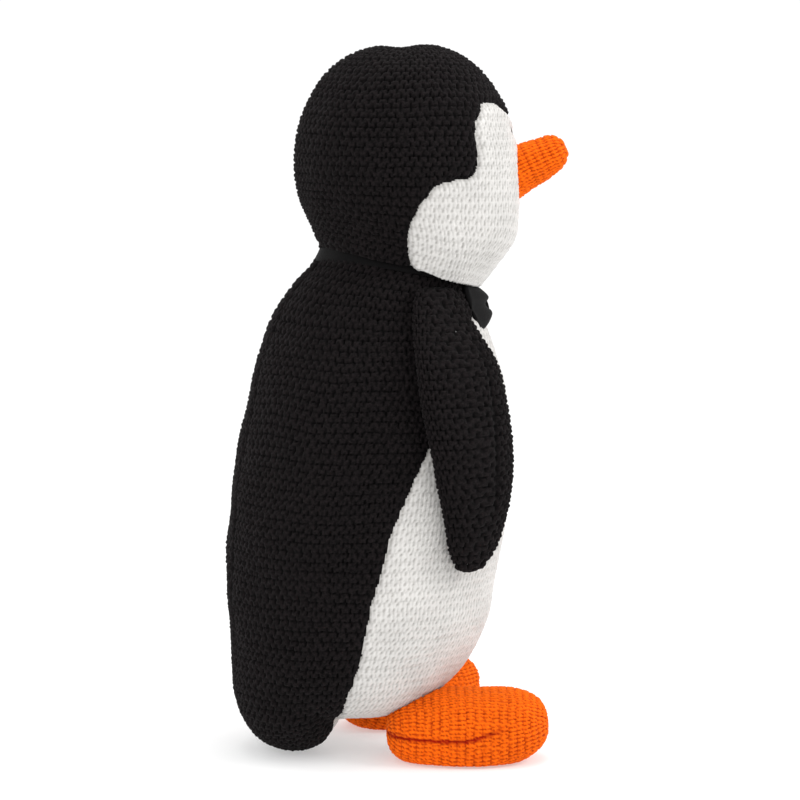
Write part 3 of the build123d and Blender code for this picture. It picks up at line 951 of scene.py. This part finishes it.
def make_bow_loop(side, sign):
    """One folded loop of ribbon, pleated at the knot and notched at its far end."""
    steps, sides = 22, 28
    points = []
    for i in range(steps + 1):
        t = i / steps
        reach = 3.2 + 35.5 * t
        half = 3.4 + 10.4 * t ** 0.6
        thick = 2.4 + 4.2 * math.sin(math.pi * min(t * 1.1, 1.0) ** 0.8)
        notch = 2.0 * smooth(t, 0.45, 1.0)
        sweep = 1.0 + 17.0 * t ** 1.9
        for k in range(sides):
            angle = 2 * math.pi * k / sides
            cz, cy = math.sin(angle), math.cos(angle)
            waist = math.exp(-((cz + 0.1) / 0.42) ** 2)
            pleat = 0.9 * math.cos(cz * 7.5) * (1 - t) ** 0.6 + 0.5 * math.cos(cz * 9.0 + 1.0) * t
            x = sign * (reach - notch * waist)
            z = BOW_Z + cz * half + 0.5 * math.sin(t * 5.0 + sign)
            y = BOW_Y + sweep + cy * thick * (1 - 0.72 * waist) + (pleat if cy < 0 else 0)
            points.append((x, y + BOW_LEAN * (z - BOW_Z) + SHIFT_Y, z))
    faces = tube_faces(steps + 1, sides, sign > 0)
    dress("bow_loop_" + side, points, faces, RIBBON, 1, "body", "bow_wing_" + side)


def make_bow_knot():
    """The wrap of ribbon round the bow's middle."""
    steps, sides = 14, 32
    points = []
    for i in range(steps + 1):
        t = i / steps
        swell = 1.0 - 0.16 * abs(2 * t - 1) ** 3 + 0.05 * math.cos(t * 18.0)
        for k in range(sides):
            angle = 2 * math.pi * k / sides
            sy = rounded(math.cos(angle), 0.6) * 4.3 * swell
            sz = rounded(math.sin(angle), 0.6) * 5.6 * swell
            points.append((-4.3 + 8.6 * t, BOW_Y - 0.4 + sy + BOW_LEAN * sz + SHIFT_Y, BOW_Z + sz))
    faces = tube_faces(steps + 1, sides, True)
    dress("bow_knot_wrap", points, faces, RIBBON, 1, "body", "bow_knot")


def head_surface(x, z):
    """Front of the head at x and z, in the head's own frame."""
    depth = curve(HEAD_TABLE, z, 1)
    centre = curve(HEAD_TABLE, z, 2)
    width = curve(HEAD_TABLE, z, 3)
    return centre - depth * math.sqrt(max(1 - (x / width) ** 2, 0.0))


def make_eye(side, sign):
    """A satin-stitched eye: parallel threads filling a small disc."""
    points, faces = [], []
    threads, rows, ring = 11, 7, 8
    for k in range(threads):
        dx = (k + 0.5) / threads * 2 - 1
        round_off = math.sqrt(1 - dx * dx)
        half = EYE_R * round_off + 0.25 * math.sin(k * 2.4)
        x = sign * EYE_X + dx * EYE_R
        faces += tube_faces(rows, ring, False, len(points))
        for r in range(rows):
            v = r / (rows - 1) * 2 - 1
            z = EYE_Z + v * half
            arch = 0.8 * math.sqrt(max(1 - (v * 0.97) ** 2, 0.0)) + 0.5 * round_off
            y = head_surface(x, z) + EYE_SINK - arch
            for q in range(ring):
                angle = 2 * math.pi * q / ring
                points.append((x + THREAD_R * math.cos(angle), y + THREAD_R * math.sin(angle), z))
    world = placed(np.array(points), HEAD_TURN)
    dress("eye_stitch_" + side, world, faces, THREAD, 0, "head", "eye_" + side)


# ---- stage ----------------------------------------------------------------------------------------
CAMERA_TURN = math.radians(18.0)      # the camera stands this far behind the toy's right side
CAMERA_RUN = 1.6                      # metres out from the origin
CAMERA_HEIGHT = 0.37
CAMERA_TARGET = (-0.0005, -0.0045, 0.199)
VIEW_WIDTH = 0.456                    # metres across the picture at the toy
SENSOR_WIDTH = 36.0


def turned_towards(location, target):
    """The rotation that points a lamp or a camera from location at target."""
    return (Vector(target) - Vector(location)).to_track_quat("-Z", "Y").to_euler()


def make_floor():
    """A pale lit table: its own light keeps the shadows soft."""
    bpy.ops.mesh.primitive_plane_add(size=300.0, location=(0, 0, -0.0005))
    floor = bpy.context.object
    floor.name = "floor"
    mat, _, bsdf = new_material("floor_pale")
    bsdf.inputs["Base Color"].default_value = (0.6, 0.6, 0.6, 1)
    bsdf.inputs["Roughness"].default_value = 0.9
    bsdf.inputs["Emission Color"].default_value = (1, 1, 1, 1)
    bsdf.inputs["Emission Strength"].default_value = 0.4
    floor.data.materials.append(mat)


def make_lamp(name, location, size, power):
    """A round soft lamp aimed at the toy's middle."""
    light = bpy.data.lights.new(name, "AREA")
    light.shape = "DISK"
    light.size = size
    light.energy = power
    obj = bpy.data.objects.new(name, light)
    obj.location = location
    obj.rotation_euler = turned_towards(location, (0, 0, 0.2))
    bpy.context.scene.collection.objects.link(obj)


def make_light():
    """Even white surroundings and three soft lamps."""
    world = bpy.data.worlds.new("studio")
    bpy.context.scene.world = world
    world.use_nodes = True
    background = world.node_tree.nodes["Background"]
    background.inputs["Color"].default_value = (1, 1, 1, 1)
    background.inputs["Strength"].default_value = 1.04
    make_lamp("key_front", (-0.9, -1.5, 1.3), 0.9, 16.0)
    make_lamp("fill_back", (-1.2, 1.3, 1.0), 1.2, 7.0)
    make_lamp("top", (0.1, 0.0, 2.0), 1.2, 10.0)


def make_camera():
    """The camera, level with the head and a little behind the toy's right side."""
    camera = bpy.data.cameras.new("camera")
    camera.sensor_width = SENSOR_WIDTH
    camera.lens = SENSOR_WIDTH * CAMERA_RUN / VIEW_WIDTH
    obj = bpy.data.objects.new("camera", camera)
    bpy.context.scene.collection.objects.link(obj)
    behind = math.sin(CAMERA_TURN) * CAMERA_RUN + SHIFT_Y / 1000
    obj.location = (-math.cos(CAMERA_TURN) * CAMERA_RUN, behind, CAMERA_HEIGHT)
    obj.rotation_euler = turned_towards(obj.location, CAMERA_TARGET)
    bpy.context.scene.camera = obj


make_floor()
make_light()
make_camera()
make_trunk()
make_head()
for side, sign in (("right", -1), ("left", 1)):
    make_flipper(side, sign)
    make_foot(side, sign)
make_beak()
make_ribbon()
for side, sign in (("right", -1), ("left", 1)):
    make_bow_loop(side, sign)
make_bow_knot()
for side, sign in (("right", -1), ("left", 1)):
    make_eye(side, sign)

bpy.context.scene.view_settings.view_transform = "Standard"
